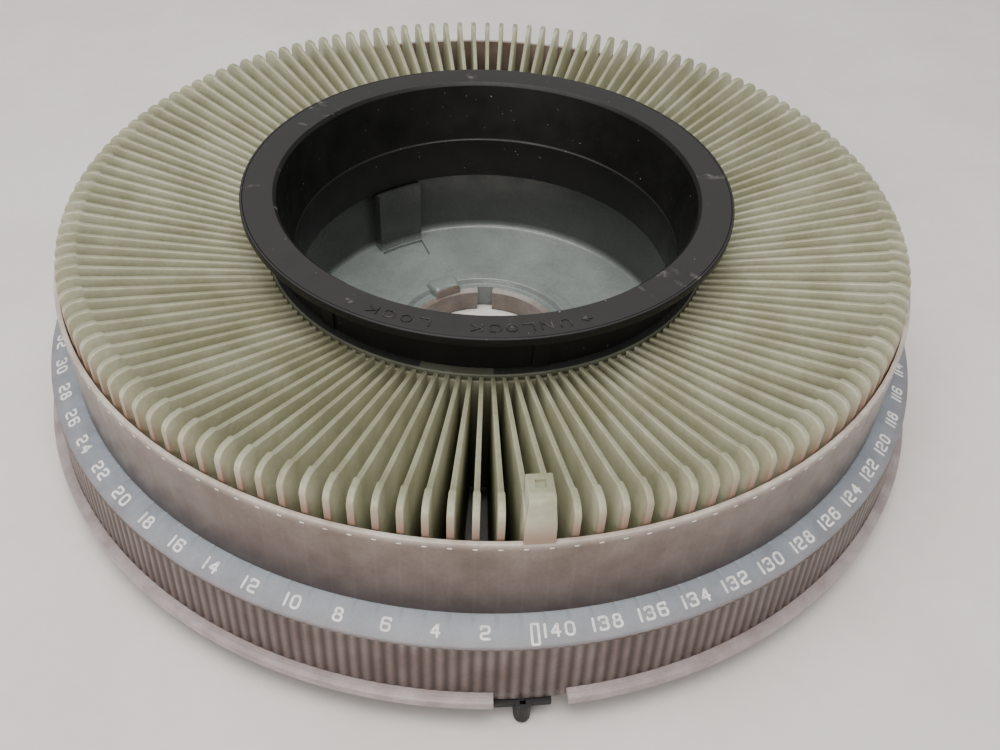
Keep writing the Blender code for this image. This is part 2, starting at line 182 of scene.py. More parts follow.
# Starts a finish from its look. The tint runs along a height or over clouds. Cloud and dust are
# (size, dark tone), rough is (size, smoothest, dullest) and grain is (size, strength, depth), in
# millimetres. The colour is handed back so that a finish can add to it.
def startFinish(name, look):
    finish = bpy.data.materials.new(name)
    finish.use_nodes = True
    tree = finish.node_tree
    shader = tree.nodes["Principled BSDF"]
    for socket, value in look["constants"].items():
        shader.inputs[socket].default_value = value
    spot = addNode(tree, "TexCoord").outputs["Object"]
    sizes = {part: look[part][0] for part in ("cloud", "dust", "rough", "grain")}
    noise = {}
    for part, size in sizes.items():
        detail = 2.0 if part == "grain" else 4.0
        settings = {"Scale": 1.0 / (size * mm), "Detail": detail, "Roughness": 0.55}
        noise[part] = addNode(tree, "TexNoise", settings, {"Vector": spot}).outputs["Fac"]
    axes = addNode(tree, "SeparateXYZ", links={"Vector": spot})
    along = noise["cloud"]
    if "heights" in look:
        low, high = look["heights"]
        span = {"From Min": low * mm, "From Max": high * mm}
        along = addNode(tree, "MapRange", span, {"Value": axes.outputs["Z"]}).outputs["Result"]
    colour = addNode(tree, "ValToRGB", {"stops": look["tint"]}, {"Fac": along}).outputs["Color"]
    for part in ("cloud", "dust"):
        shades = [(0.35, look[part][1]), (0.65, "#ffffff")]
        tones = addNode(tree, "ValToRGB", {"stops": shades}, {"Fac": noise[part]})
        mixed = {"Color1": colour, "Color2": tones.outputs["Color"]}
        colour = addNode(tree, "MixRGB", {"blend_type": "MULTIPLY", "Fac": 1.0}, mixed).outputs["Color"]
    smooth, dull = look["rough"][1:]
    wear = {"From Min": 0.3, "From Max": 0.7, "To Min": smooth, "To Max": dull}
    roughness = addNode(tree, "MapRange", wear, {"Value": noise["rough"]})
    tree.links.new(roughness.outputs["Result"], shader.inputs["Roughness"])
    strength, depth = look["grain"][1:]
    relief = {"Strength": strength, "Distance": depth * mm}
    bump = addNode(tree, "Bump", relief, {"Height": noise["grain"]})
    tree.links.new(bump.outputs["Normal"], shader.inputs["Normal"])
    tree.links.new(colour, shader.inputs["Base Color"])
    return finish, tree, spot, axes, colour


# Lays more colours over a finish, each as (mask, colour, way of mixing), and links the last to the shader.
def layColours(tree, colour, layers):
    for mask, hexValue, mixing in layers:
        settings = {"blend_type": mixing, "Color2": linearColour(hexValue)}
        colour = addNode(tree, "MixRGB", settings, {"Fac": mask, "Color1": colour}).outputs["Color"]
    tree.links.new(colour, tree.nodes["Principled BSDF"].inputs["Base Color"])


def smokyWallStyrene():
    # Smoke-tinted polystyrene, injection moulded: warm near the rim, partly its own tint and partly a painted
    # reflection of warm red surroundings, and paler at the rim itself; a dark band of painted shade lies
    # under the number band's overhang and in the crease where band and wall meet
    finish, tree, _, axes, colour = startFinish("smoky_polystyrene_moulded", {
        "constants": {"IOR": 1.59, "Specular IOR Level": 0.32},
        "heights": (shellLow.z, shellHigh.z),
        "tint": [(0.0, "#7d7473"), (0.10, "#6d605d"), (0.33, "#7c6f6b"), (0.41, "#7b716d"),
                 (0.47, "#524b4b"), (0.56, "#57504d"), (0.68, "#695d58"), (0.86, "#7b7069"),
                 (0.955, "#877c74"), (0.972, "#9e958c"), (1.0, "#cdc6bc")],
        "cloud": (9.0, "#dcd4d1"), "dust": (0.8, "#f2efee"),
        "rough": (5.0, 0.28, 0.42), "grain": (0.5, 0.22, 0.03)})
    height = axes.outputs["Z"]
    directions = {0: axes.outputs["Y"], 1: axes.outputs["X"]}
    around = addNode(tree, "Math", {"operation": "ARCTAN2"}, directions)
    times = {"operation": "MULTIPLY", 1: float(positions)}
    turns = addNode(tree, "Math", times, {0: around.outputs[0]})
    wave = addNode(tree, "Math", {"operation": "SINE"}, {0: turns.outputs[0]}).outputs[0]
    # The wave peaks at each fin. There a pale line is painted on the upper wall: painted light of the fin
    # behind it showing through the translucent wall.
    line = addNode(tree, "MapRange", {"From Min": 0.90, "From Max": 1.0, "To Max": 0.5}, {"Value": wave})
    above = addNode(tree, "MapRange", {"From Min": 27.5 * mm, "From Max": 29.0 * mm}, {"Value": height})
    lit = {0: line.outputs["Result"], 1: above.outputs["Result"]}
    finShowThrough = addNode(tree, "Math", {"operation": "MULTIPLY"}, lit).outputs[0]
    # Painted shade: the lower wall under the band is darkened in its flute valleys, twice for every fin.
    doubled = addNode(tree, "Math", {"operation": "MULTIPLY"}, {0: wave, 1: wave})
    below = addNode(tree, "MapRange", {"From Min": 24.3 * mm, "From Max": 23.7 * mm}, {"Value": height})
    shaded = {0: doubled.outputs[0], 1: below.outputs["Result"]}
    fluteValleyShade = addNode(tree, "Math", {"operation": "MULTIPLY"}, shaded).outputs[0]
    layColours(tree, colour, [(finShowThrough, "#282320", "ADD"), (fluteValleyShade, "#a39a98", "MULTIPLY")])
    return finish


def wallInsideStyrene():
    # The inside of the upper wall glows a little, since light comes through it
    return startFinish("backlit_polystyrene_wall", {
        "constants": {"IOR": 1.59, "Specular IOR Level": 0.3},
        "tint": [(0.3, "#97877f"), (0.7, "#ab9b92")],
        "cloud": (9.0, "#e8e2de"), "dust": (0.8, "#f4f2f1"),
        "rough": (5.0, 0.34, 0.5), "grain": (0.5, 0.2, 0.03)})[0]


def bandStyrene():
    # The same plastic on the sloped band, etched in the mould: an even satin, with a grey blue cast that is a
    # painted reflection of the sky, pinker at its foot and darker at its top edge
    return startFinish("etched_polystyrene_band", {
        "constants": {"IOR": 1.59, "Specular IOR Level": 0.5},
        "heights": (24.9, 27.8),
        "tint": [(0.0, "#8b8487"), (0.18, "#929299"), (0.5, "#969ba4"), (0.9, "#939ba6"), (1.0, "#7d858c")],
        "cloud": (6.0, "#e8e8e8"), "dust": (0.35, "#f0f0f0"),
        "rough": (3.0, 0.40, 0.55), "grain": (0.3, 0.3, 0.03)})[0]


def flangeStyrene():
    # The thin foot flange in the same plastic: paler, because light passes through it
    return startFinish("polished_polystyrene_flange", {
        "constants": {"IOR": 1.59, "Specular IOR Level": 0.5},
        "tint": [(0.3, "#9c9191"), (0.7, "#b0a5a6")],
        "cloud": (7.0, "#f0ecec"), "dust": (0.6, "#f4f2f2"),
        "rough": (3.0, 0.26, 0.42), "grain": (0.6, 0.2, 0.03)})[0]


def finStyrene():
    # Cream translucent polystyrene, moulded thin: grey green near the top, darkening to olive in the depth of
    # the slots, which is painted shade of the deep narrow slots
    finish, tree, _, axes, colour = startFinish("cream_polystyrene_moulded", {
        "constants": {"IOR": 1.59, "Specular IOR Level": 0.4, "Subsurface Weight": 0.2,
                      "Subsurface Scale": 0.0015, "Subsurface Radius": (1.0, 0.95, 0.6)},
        "heights": (drumLow.z, drumHigh.z),
        "tint": [(0.0, "#5b5040"), (0.40, "#85816a"), (0.56, "#b0b097"), (0.70, "#c6c6b0"), (1.0, "#c9c9b5")],
        "cloud": (14.0, "#e0e0d5"), "dust": (1.2, "#f3f2ec"),
        "rough": (2.5, 0.33, 0.48), "grain": (0.7, 0.25, 0.03)})
    # Painted shade: faces that look up are darkened a little, which tones down the lit tops of the fins.
    normal = addNode(tree, "NewGeometry").outputs["Normal"]
    facing = addNode(tree, "SeparateXYZ", links={"Vector": normal}).outputs["Z"]
    topShade = addNode(tree, "MapRange", {"From Min": 0.55, "From Max": 0.95}, {"Value": facing})
    # The outer ends of the fins, and the post, are painted pinkish brown lower down: a painted reflection of
    # warm red surroundings.
    level = addNode(tree, "CombineXYZ", links={"X": axes.outputs["X"], "Y": axes.outputs["Y"]})
    radius = addNode(tree, "VectorMath", {"operation": "LENGTH"}, {0: level.outputs["Vector"]})
    reach = {"From Min": 111.5 * mm, "From Max": 113.2 * mm}
    pinkReflectionHeights = {"From Min": 58.5 * mm, "From Max": 52.5 * mm}
    tips = addNode(tree, "MapRange", reach, {"Value": radius.outputs["Value"]}).outputs["Result"]
    sunk = addNode(tree, "MapRange", pinkReflectionHeights, {"Value": axes.outputs["Z"]}).outputs["Result"]
    ends = addNode(tree, "Math", {"operation": "MULTIPLY"}, {0: tips, 1: sunk}).outputs[0]
    layColours(tree, colour, [(topShade.outputs["Result"], "#cdcec8", "MULTIPLY"), (ends, "#9c8272", "MIX")])
    return finish


def lipStyrene():
    # The same cream plastic on the sleeve's lip, which lies in the shade of the lock ring
    return startFinish("shaded_polystyrene_lip", {
        "constants": {"IOR": 1.59, "Specular IOR Level": 0.35},
        "tint": [(0.3, "#5f6257"), (0.7, "#6c6f62")],
        "cloud": (14.0, "#e6e6de"), "dust": (1.2, "#f1f0ea"),
        "rough": (2.5, 0.35, 0.5), "grain": (0.7, 0.2, 0.03)})[0]


def hubStyrene():
    # Grey high-impact polystyrene, polished mould: glossy pale floor, and the wall above it painted dark,
    # painted shade of the ring over the bowl
    return startFinish("grey_polystyrene_polished", {
        "constants": {"IOR": 1.59, "Specular IOR Level": 0.5},
        "heights": (hubLow.z, hubHigh.z),
        "tint": [(0.0, "#7b827f"), (0.12, "#878e8b"), (0.225, "#8b9290"),
                 (0.27, "#4c4f4d"), (0.5, "#3d403e"), (0.93, "#3b3e3b")],
        "cloud": (16.0, "#e2e4e3"), "dust": (0.9, "#eeeeee"),
        "rough": (6.0, 0.16, 0.34), "grain": (2.0, 0.12, 0.04)})[0]


def tubeStyrene():
    # The thin tube of the hub lets light through: a warmer, browner grey
    return startFinish("thin_polystyrene_tube", {
        "constants": {"IOR": 1.59, "Specular IOR Level": 0.45},
        "tint": [(0.3, "#796f69"), (0.7, "#8e857e")],
        "cloud": (5.0, "#ebe6e3"), "dust": (0.8, "#f2efed"),
        "rough": (4.0, 0.25, 0.4), "grain": (0.8, 0.2, 0.03)})[0]


def blackAbs():
    # Black ABS, handled for years: textured flats painted greyer, a painted sheen from above; the sides and
    # inside left blacker, painted shade; rubbed edges, pale nicks
    finish, tree, spot, axes, colour = startFinish("black_abs_moulded", {
        "constants": {"IOR": 1.53, "Specular IOR Level": 0.28},
        "tint": [(0.3, "#121111"), (0.7, "#171616")],
        "cloud": (18.0, "#e6e6e6"), "dust": (0.7, "#e8e8e8"),
        "rough": (7.0, 0.36, 0.52), "grain": (0.45, 0.35, 0.03)})
    # Faces that look up take a paler grey: painted sheen from above, with painted shade left on the sides.
    shape = addNode(tree, "NewGeometry")
    facing = addNode(tree, "SeparateXYZ", links={"Vector": shape.outputs["Normal"]})
    upwardSheen = addNode(tree, "MapRange", {"From Min": 0.80, "From Max": 0.97}, {"Value": facing.outputs["Z"]})
    patches = addNode(tree, "TexNoise", {"Scale": 1.0 / (3.5 * mm), "Detail": 5.0}, {"Vector": spot})
    patchRange = {"From Min": 0.50, "From Max": 0.66}
    patchy = addNode(tree, "MapRange", patchRange, {"Value": patches.outputs["Fac"]}).outputs["Result"]
    sharp = {"From Min": 0.53, "From Max": 0.62, "To Max": 0.6}
    edge = addNode(tree, "MapRange", sharp, {"Value": shape.outputs["Pointiness"]}).outputs["Result"]
    topmost = {"From Min": 60.5 * mm, "From Max": 61.5 * mm}
    high = addNode(tree, "MapRange", topmost, {"Value": axes.outputs["Z"]}).outputs["Result"]
    handled = addNode(tree, "Math", {"operation": "MULTIPLY"}, {0: edge, 1: high}).outputs[0]
    rubbed = addNode(tree, "Math", {"operation": "MULTIPLY"}, {0: handled, 1: patchy}).outputs[0]
    chipping = {"Scale": 1.0 / (0.9 * mm), "Detail": 2.0, "Roughness": 0.5}
    chips = addNode(tree, "TexNoise", chipping, {"Vector": spot}).outputs["Fac"]
    nicks = addNode(tree, "MapRange", {"From Min": 0.745, "From Max": 0.79}, {"Value": chips})
    layColours(tree, colour, [
        (upwardSheen.outputs["Result"], "#302f2f", "MIX"),
        (rubbed, "#7f7b79", "MIX"),
        (nicks.outputs["Result"], "#96918e", "MIX")])
    return finish


def stampedWhite():
    # White foil stamped on the raised figures: slightly chalky and thin at its edges
    return startFinish("white_hot_foil", {
        "constants": {"IOR": 1.5, "Specular IOR Level": 0.4},
        "tint": [(0.28, "#e2e2e0"), (0.5, "#fdfdfb")],
        "cloud": (4.0, "#f6f6f6"), "dust": (0.8, "#f0f0ee"),
        "rough": (1.5, 0.42, 0.6), "grain": (0.4, 0.1, 0.02)})[0]


def zincPlate():
    # Pressed steel sheet, zinc plated: dull grey with faint rolling lines and darker handling marks
    finish, tree, spot, _, colour = startFinish("zinc_plated_pressed_steel", {
        "constants": {"Metallic": 1.0},
        "tint": [(0.3, "#8f8f8c"), (0.7, "#b4b4b0")],
        "cloud": (11.0, "#bdbbb4"), "dust": (0.6, "#eeeeec"),
        "rough": (6.0, 0.28, 0.48), "grain": (0.8, 0.15, 0.02)})
    rolled = addNode(tree, "Mapping", {"Scale": (1.0, 14.0, 1.0)}, {"Vector": spot})
    lines = {"Scale": 1.0 / (8.0 * mm), "Detail": 4.0}
    streaks = addNode(tree, "TexNoise", lines, {"Vector": rolled.outputs["Vector"]}).outputs["Fac"]
    faint = addNode(tree, "MapRange", {"From Min": 0.4, "From Max": 0.7, "To Max": 0.5}, {"Value": streaks})
    layColours(tree, colour, [(faint.outputs["Result"], "#cfcfca", "MULTIPLY")])
    return finish


def springSteel():
    # Hard drawn spring steel: dark, smooth and a little oily
    return startFinish("drawn_spring_steel", {
        "constants": {"Metallic": 1.0},
        "tint": [(0.3, "#77777a"), (0.7, "#9b9b9c")],
        "cloud": (3.0, "#dadada"), "dust": (0.5, "#eeeeee"),
        "rough": (1.5, 0.22, 0.4), "grain": (0.4, 0.1, 0.02)})[0]


def paleFloor():
    # Plain matt paper sweep
    return startFinish("pale_matt_paper", {
        "constants": {"Specular IOR Level": 0.2},
        "tint": [(0.3, "#e3dedb"), (0.7, "#e8e4e1")],
        "cloud": (60.0, "#fafafa"), "dust": (5.0, "#fcfcfc"),
        "rough": (30.0, 0.8, 0.9), "grain": (1.0, 0.05, 0.02)})[0]


wallFinish = smokyWallStyrene()
bandFinish = bandStyrene()
wallInsideFinish = wallInsideStyrene()
flangeFinish = flangeStyrene()
finFinish = finStyrene()
lipFinish = lipStyrene()
hubFinish = hubStyrene()
tubeFinish = tubeStyrene()
blackFinish = blackAbs()
whiteFinish = stampedWhite()
zincFinish = zincPlate()
springFinish = springSteel()
floorFinish = paleFloor()
print("stage: finishes made")


# Outer shell: upper wall, number band and fluted lower wall, in one moulding

shell = {
    "wallOuter": 115.0, "wallInner": 113.8, "rimFillet": 0.25,
    "bandTop": 27.7, "bandFoot": 25.15, "bandRadius": 122.1, "bandFillet": 0.9,
    "nickDepth": 0.3, "nickWidth": 0.12,        # small nick in the band's top edge at every fin
    "fluteDepth": 0.42, "fluteTop": 23.9, "fluteFoot": 9.6,
    "footRadius": 122.9, "skirtThick": 2.3, "columns": 12,
    "flangeTop": 9.1, "flangeStep": 0.3, "gap": (-4.1, 3.5), "flangeColumns": 480,
}


def shellOutline(bearing):
    phase = (bearing / pitch) % 1.0                       # 0.5 at a fin
    nick = shell["nickDepth"] if abs(phase - 0.5) < shell["nickWidth"] / 2 else 0.0
    flute = shell["fluteDepth"] * (1.0 - abs(math.cos(2.0 * math.pi * (phase + 0.25))))
    wall, band = shell["wallOuter"], shell["bandRadius"]
    foot, low = shell["footRadius"], shellLow.z
    return filleted([
        (shell["wallInner"], shellHigh.z, 0.2),
        (wall, shellHigh.z, shell["rimFillet"]),
        (wall, shell["bandTop"] + 0.8, 0.0),
        (wall - nick * 0.3, shell["bandTop"] - nick * 0.2, 0.0),
        (wall + 0.5, shell["bandTop"] - 0.18 - nick, 0.0),
        (wall + 0.9, shell["bandTop"] - 0.34, 0.0),
        (band, shell["bandFoot"], shell["bandFillet"]),
        (band - 0.35, shell["fluteTop"] + 0.25, 0.0),
        (band - flute, shell["fluteTop"], 0.0),
        (foot - 0.1 - flute, shell["fluteFoot"], 0.0),
        (foot, shell["fluteFoot"] - 0.5, 0.0),
        (foot, low, 0.2),
        (foot - shell["skirtThick"], low, 0.2),
        (shell["bandRadius"] - shell["skirtThick"], shell["bandFoot"] - 2.2, 0.6),
        (wall, shell["bandTop"] - 2.9, 0.4),
        (wall, low, 0.2),
        (shell["wallInner"], low, 0.2),
    ], steps=3)


def shellFinishOf(index):
    bandStart, bandEnd = 9, 16           # stretches of the outline that are the number band
    insideFace = 43                      # the last stretch of the outline, up the inside of the wall
    return 1 if bandStart <= index < bandEnd else 2 if index == insideFace else 0


shellMesh = bmesh.new()
shellBearings = evenBearings(positions * shell["columns"], pitch / 2)
sweepRound(shellMesh, shellBearings, shellOutline, finishOf=shellFinishOf)
shellFinishes = [wallFinish, bandFinish, wallInsideFinish]
shellPiece = makePiece("tray_shell", shellMesh, shellFinishes, "tray")
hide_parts("outer_shell")


# Foot flange, open where the latch sits

def flangeOutline(bearing):
    top, root = shell["flangeTop"], shell["footRadius"] - 0.3
    low, stepTop = shellLow.z, top - shell["flangeStep"]
    return filleted([
        (root, top + 0.1, 0.0), (root + 1.3, top + 0.1, 0.1), (root + 1.5, stepTop, 0.1),
        (shellHigh.x, stepTop - 0.05, 0.4), (shellHigh.x, low, 0.25), (root, low, 0.0),
    ], steps=3)


flangeMesh = bmesh.new()
gapStart, gapEnd = shell["gap"]
flangeSweep = 360.0 - (gapEnd - gapStart)
flangeBearings = evenBearings(shell["flangeColumns"], gapEnd, flangeSweep, closed=False)
sweepRound(flangeMesh, flangeBearings, flangeOutline, fullTurn=False)
makePiece("foot_flange", flangeMesh, [flangeFinish], "tray")


# Tongues of the fins, which show as pale ticks in the wall under the rim

ticks = {"width": 0.95, "height": 0.3, "below": 1.45, "proud": 0.06, "sunk": 0.5}
tickInner, tickOuter = shell["wallOuter"] - ticks["sunk"], shell["wallOuter"] + ticks["proud"]
tickTop = shellHigh.z - ticks["below"] + ticks["height"] / 2
tickFoot = tickTop - ticks["height"]
tickOutline = [(tickInner, tickFoot), (tickOuter, tickFoot), (tickOuter, tickTop), (tickInner, tickTop)]
tickHalf = math.degrees(ticks["width"] / 2 / shell["wallOuter"])
tickMesh = bmesh.new()
for index in range(positions):
    sweepArc(tickMesh, tickOutline, pitch * (index + 0.5) - tickHalf, 2 * tickHalf, 3)
makePiece("fin_tongues", tickMesh, [whiteFinish], "tray")
print("stage: shell made")


# Figures: strokes on a unit box, each (closed, corners, fillet), drawn with a round-ended ribbon

figureStrokes = {
    "0": [(True, [(0, 0), (0, 1), (1, 1), (1, 0)], 0.42)],
    "1": [(False, [(0.5, 0), (0.5, 1)], 0)],
    "2": [(False, [(0, 0.8), (0, 1), (1, 1), (1, 0.5), (0, 0.42), (0, 0), (1, 0)], 0.3)],
    "3": [(False, [(0, 0.84), (0, 1), (1, 1), (1, 0.54), (0.4, 0.54)], 0.3),
          (False, [(0.4, 0.54), (1, 0.54), (1, 0), (0, 0), (0, 0.18)], 0.3)],
    "4": [(False, [(0.78, 0), (0.78, 1), (0, 0.32), (1, 0.32)], 0.04)],
    "5": [(False, [(0.95, 1), (0.05, 1), (0, 0.56), (1, 0.62), (1, 0), (0, 0), (0, 0.18)], 0.3)],
    "6": [(False, [(1, 0.84), (1, 1), (0, 1), (0, 0), (1, 0), (1, 0.56), (0.05, 0.56)], 0.3)],
    "7": [(False, [(0, 1), (1, 1), (0.35, 0)], 0.04)],
    "8": [(True, [(0.08, 0.54), (0.08, 1), (0.92, 1), (0.92, 0.54)], 0.32),
          (True, [(0, 0), (0, 0.54), (1, 0.54), (1, 0)], 0.36)],
    "9": [(False, [(0, 0.16), (0, 0), (1, 0), (1, 1), (0, 1), (0, 0.44), (0.95, 0.44)], 0.3)],
    "box": [(True, [(0, 0), (0, 1), (1, 1), (1, 0)], 0.1)],
    "C": [(False, [(1, 0.78), (1, 1), (0, 1), (0, 0), (1, 0), (1, 0.22)], 0.45)],
    "K": [(False, [(0, 0), (0, 1)], 0), (False, [(1, 1), (0, 0.42)], 0), (False, [(0.34, 0.6), (1, 0)], 0)],
    "L": [(False, [(0, 1), (0, 0), (1, 0)], 0)],
    "N": [(False, [(0, 0), (0, 1), (1, 0), (1, 1)], 0)],
    "O": [(True, [(0, 0), (0, 1), (1, 1), (1, 0)], 0.48)],
    "U": [(False, [(0, 1), (0, 0), (1, 0), (1, 1)], 0.45)],
}


# Lays one stroke as a raised ribbon. surfaceAt turns (across, up, proud) in millimetres into a place.
def addStroke(mesh, points, closed, width, proud, surfaceAt):
    count = len(points)
    half = width / 2
    rows = []
    for index, point in enumerate(points):
        before = points[index - 1] if closed or index > 0 else None
        after = points[(index + 1) % count] if closed or index < count - 1 else None
        inward = (point - before).normalized() if before else (after - point).normalized()
        onward = (after - point).normalized() if after else inward
        direction = (inward + onward).normalized()
        reach = half / max(0.5, direction.dot(inward))
        side = Vector((-direction.y, direction.x)) * reach
        rows.append((point + side, point - side))
    if not closed:
        for end, sign in ((0, -1.0), (-1, 1.0)):
            left, right = rows[end]
            side = (left - right) / 2
            outward = Vector((side.y, -side.x)) * sign
            ending = []
            for forward, aside in ((0.92, 0.38), (0.55, 0.83)):       # the tip, then its shoulder
                centre = (left + right) / 2 + outward * forward
                ending.append((centre + side * aside, centre - side * aside))
            rows = ending + rows if end == 0 else rows + ending[::-1]
    sections = []
    sunk, inset, bevelFoot = -0.15, 0.22, proud * 0.6
    for left, right in rows:
        middle = (left + right) / 2
        topLeft, topRight = left.lerp(middle, inset), right.lerp(middle, inset)
        outline = ((left, sunk), (left, bevelFoot), (topLeft, proud),
                   (topRight, proud), (right, bevelFoot), (right, sunk))
        sections.append([mesh.verts.new(surfaceAt(spot.x, spot.y, lift)) for spot, lift in outline])
    joinSections(mesh, sections, closed)


# Writes a row of figures centred on the origin of surfaceAt.
def addFigures(mesh, figures, size, surfaceAt):
    widths = [0.0 if figure == "1" else size["width"] for figure in figures]
    total = sum(widths) + size["stroke"] * len(figures) + size["space"] * (len(figures) - 1)
    left = -total / 2 + size["stroke"] / 2
    for figure, width in zip(figures, widths):
        middle = 0.5 if width == 0 else 0.0           # the 1 has no width and stands on its own middle
        across = max(width, 0.001)
        for closed, corners, fillet in figureStrokes[figure]:
            rounding = fillet * size["width"]
            spots = [((x - middle) * across, y * size["height"], rounding) for x, y in corners]
            curve = [Vector(spot) for spot in filleted(spots, steps=5, closed=closed)]
            placed = [Vector((left + spot.x, spot.y - size["height"] / 2)) for spot in curve]
            addStroke(mesh, placed, closed, size["stroke"], size["proud"], surfaceAt)
        left += width + size["stroke"] + size["space"]


numbers = {"width": 1.75, "height": 2.65, "stroke": 0.58, "space": 0.8, "proud": 0.14, "radius": 118.85}
zeroBox = {"width": 1.5, "height": 4.35, "stroke": 0.56, "space": 0.8, "proud": 0.14, "radius": 119.4}


# Turns the flat of a figure into the slope of the number band.
def onBand(bearing, centreRadius):
    bandWide = shell["bandRadius"] - shell["wallOuter"]
    bandDrop = shell["bandFoot"] - shell["bandTop"]
    down = Vector((bandWide, bandDrop)).normalized()
    normal = Vector((-down.y, down.x))
    share = (centreRadius - shell["wallOuter"]) / bandWide
    centre = Vector((centreRadius, shell["bandTop"] + share * bandDrop))

    def surfaceAt(across, up, lift):
        spot = centre - down * up + normal * lift
        return place(spot.x, bearing + math.degrees(across / centreRadius), spot.y)

    return surfaceAt


numberMesh = bmesh.new()
for number in range(2, positions, 2):
    addFigures(numberMesh, list(str(number)), numbers, onBand(-number * pitch, numbers["radius"]))
addFigures(numberMesh, ["box"], zeroBox, onBand(0.0, zeroBox["radius"]))
makePiece("position_numbers", numberMesh, [whiteFinish], "tray", sharpAngle=30.0)
print("stage: figures made")


# Slot drum: a sleeve with one thin fin between every two slots, and the post at position 0

fin = {
    "rootThick": 1.0, "thick": 1.22, "earThick": 1.5, "root": 61.5, "rootTop": 47.0,
    "earStart": 107.4, "earRamp": 0.5, "cornerRadius": 3.2, "tip": 113.5, "foot": 8.3, "edgeFillet": 0.32,
    "top": 58.5, "earTop": 59.2, "wander": 0.10,        # each fin leans by up to the wander, as moulded
}


# Columns along a fin: radius, top and half thickness. The top rises evenly from the sleeve to the ear.
def finColumns():
    half, earHalf = fin["thick"] / 2, fin["earThick"] / 2
    straightSteps, cornerSteps = 8, 6
    columns = []
    for step in range(straightSteps + 1):
        share = step / straightSteps
        radius = fin["root"] + (fin["earStart"] - fin["root"]) * share
        top = fin["rootTop"] + (fin["top"] - fin["rootTop"]) * share
        columns.append((radius, top, (fin["rootThick"] * (1 - share) + fin["thick"] * share) / 2))
    columns.append((fin["earStart"] + fin["earRamp"], fin["earTop"] - 0.12, (half + earHalf) / 2))
    columns.append((fin["earStart"] + 2 * fin["earRamp"], fin["earTop"], earHalf))
    corner = fin["cornerRadius"]
    for step in range(cornerSteps + 1):
        turn = math.radians(90.0 / cornerSteps * step)
        radius = fin["tip"] - corner * (1 - math.sin(turn))
        top = fin["earTop"] - corner * (1 - math.cos(turn))
        columns.append((radius, top, earHalf - (fin["edgeFillet"] if step == cornerSteps else 0.0)))
    return columns


# The lean is greatest between the sleeve and the wall, which both hold the fin.
def addFin(mesh, bearing, lean):
    sections = []
    foot, edge = fin["foot"], fin["edgeFillet"]
    for radius, top, half in finColumns():
        reach = min(1.0, (radius - fin["root"]) / 30.0) * min(1.0, (fin["tip"] - radius) / 20.0 + 0.25)
        shift = lean * reach
        outline = [(-half, foot, 0.0), (half, foot, 0.0), (half, top, edge), (-half, top, edge)]
        section = []
        for across, height in filleted(outline, steps=3):
            bend = shift * (height - foot) / (fin["top"] - foot)
            turned = bearing + math.degrees((across + bend) / radius)
            section.append(mesh.verts.new(place(radius, turned, height)))
        sections.append(section)
    joinSections(mesh, sections)


sleeve = {"inner": 59.4, "outer": 61.6, "top": 45.5}
post = {
    "inner": 107.5, "outer": 115.0, "width": 6.5, "topWidth": 5.4, "root": 34.0, "rim": 51.05, "brow": 1.9,
    "browStart": 56.0, "taperStart": 57.0, "taperHeight": 5.0,
}
pocket = {"start": 109.2, "end": 111.4, "width": 2.2, "depth": 0.7}


# The post stands over the rim: it narrows just under its rounded brow.
def addPost(mesh):
    side = filleted([
        (post["inner"], post["root"], 0.0), (fin["tip"], post["root"], 0.0), (fin["tip"], post["rim"], 0.0),
        (post["outer"], post["rim"], 0.0), (post["outer"], post["browStart"], 0.0),
        (post["outer"] - 0.9, drumHigh.z, post["brow"]), (post["inner"], drumHigh.z, 0.5),
    ], steps=6)
    sections = []
    for share, inset in ((-1.0, 0.3), (-0.93, 0.06), (-0.8, 0.0), (0.8, 0.0), (0.93, 0.06), (1.0, 0.3)):
        section = []
        for radius, height in side:
            taper = min(1.0, max(0.0, (height - post["taperStart"]) / post["taperHeight"]))
            half = post["width"] / 2 * (1 - taper) + post["topWidth"] / 2 * taper
            face = post["outer"] - inset if height > post["rim"] + 0.1 else radius
            pulled = min(max(radius, post["inner"] + inset), face)
            lowered = min(height, drumHigh.z - inset)
            section.append(mesh.verts.new(place(pulled, math.degrees(half * share / pulled), lowered)))
        sections.append(section)
    joinSections(mesh, sections)


# Cuts one closed mesh out of a piece and keeps the result as plain faces.
def carve(piece, toolMesh):
    data = bpy.data.meshes.new("carving")
    bmesh.ops.recalc_face_normals(toolMesh, faces=toolMesh.faces)
    toolMesh.to_mesh(data)
    toolMesh.free()
    tool = bpy.data.objects.new("carving", data)
    bpy.context.scene.collection.objects.link(tool)
    cut = piece.modifiers.new("carve", "BOOLEAN")
    cut.object = tool
    depsgraph = bpy.context.evaluated_depsgraph_get()
    result = bpy.data.meshes.new_from_object(piece.evaluated_get(depsgraph))
    piece.modifiers.clear()
    piece.data = result
    bpy.data.objects.remove(tool)


drumMesh = bmesh.new()
sleeveOutline = filleted([
    (sleeve["inner"], fin["foot"], 0.1), (sleeve["outer"], fin["foot"], 0.1),
    (sleeve["outer"], sleeve["top"], 0.3), (sleeve["inner"], sleeve["top"], 0.2)], steps=3)
sweepRound(drumMesh, evenBearings(positions * 3), lambda bearing: sleeveOutline)
chance = random.Random(7)
for index in range(positions):
    addFin(drumMesh, pitch * (index + 0.5), chance.uniform(-fin["wander"], fin["wander"]))
drumPiece = makePiece("fin_drum", drumMesh, [finFinish], "tray", sharpAngle=38.0)
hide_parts("slot_drum")

